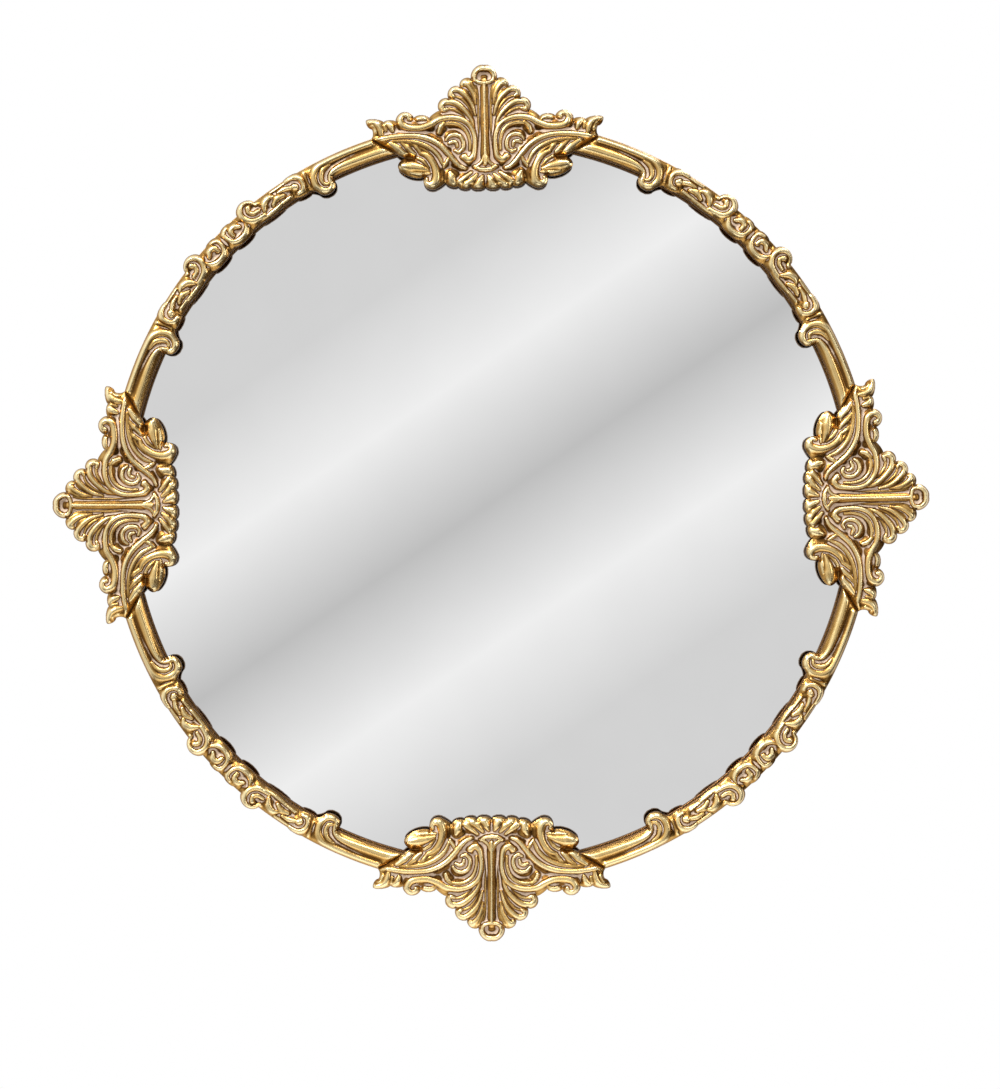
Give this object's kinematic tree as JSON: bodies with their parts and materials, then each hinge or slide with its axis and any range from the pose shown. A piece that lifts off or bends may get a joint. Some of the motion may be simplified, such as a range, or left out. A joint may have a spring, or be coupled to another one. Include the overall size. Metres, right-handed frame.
{
  "type": "round convex wall mirror",
  "caption": "Round convex wall mirror in a thin gilt ring, with carved leaf-and-scroll cartouches at the top, bottom and sides, scrolled mouldings between and D-ring hangers on its back panel.",
  "frame": {"origin": "centre of the back panel's rear face, on the mirror's centre line", "axes": "+Y out of the back towards the wall, -Y out of the glass, +Z towards the mirror's top, +X to the right seen from the front"},
  "size_m": [0.7274, 0.045, 0.7273],
  "materials": {
    "gilt_casting": "cast resin, gilt, with a pinkish wash left in the hollows",
    "gilt_ring": "turned board, gilt paint",
    "silvered_glass": "polished",
    "black_foam": "matt",
    "painted_panel": "thin matt paint",
    "brassed_screw": "bright",
    "felt": "matt",
    "zinc_plate": "zinc plated"
  },
  "bodies": {
    "frame": {"cartouche_right": "gilt_casting", "cartouche_top": "gilt_casting", "cartouche_left": "gilt_casting", "cartouche_bottom": "gilt_casting", "ring_moulding_right_to_top": "gilt_casting", "ring_moulding_top_to_left": "gilt_casting", "ring_moulding_left_to_bottom": "gilt_casting", "ring_moulding_bottom_to_right": "gilt_casting", "frame_ring": "gilt_ring", "mirror_glass": "silvered_glass", "glass_cushion": "black_foam", "back_panel": "painted_panel", "panel_screw_1": "brassed_screw", "panel_screw_2": "brassed_screw", "panel_screw_3": "brassed_screw", "panel_screw_4": "brassed_screw", "panel_screw_5": "brassed_screw", "panel_screw_6": "brassed_screw", "panel_screw_7": "brassed_screw", "panel_screw_8": "brassed_screw", "wall_pad_top_right": "felt", "wall_pad_top_left": "felt", "wall_pad_bottom_left": "felt", "wall_pad_bottom_right": "felt", "hanger_strap_left": "zinc_plate", "hanger_strap_right": "zinc_plate", "hanger_screw_left_1": "zinc_plate", "hanger_screw_left_2": "zinc_plate", "hanger_screw_right_1": "zinc_plate", "hanger_screw_right_2": "zinc_plate"},
    "d_ring_left": {"hanger_ring_left": "zinc_plate"},
    "d_ring_right": {"hanger_ring_right": "zinc_plate"}
  },
  "joints": [
    {"name": "d_ring_left_swing", "type": "hinge", "parent": "frame", "child": "d_ring_left", "pos_m": [-0.14986, 0.00285, 0.22218], "axis": [1, 0, 0], "range_deg": [0, 175]},
    {"name": "d_ring_right_swing", "type": "hinge", "parent": "frame", "child": "d_ring_right", "pos_m": [0.14986, 0.00285, 0.22218], "axis": [1, 0, 0], "range_deg": [0, 175]}
  ]
}
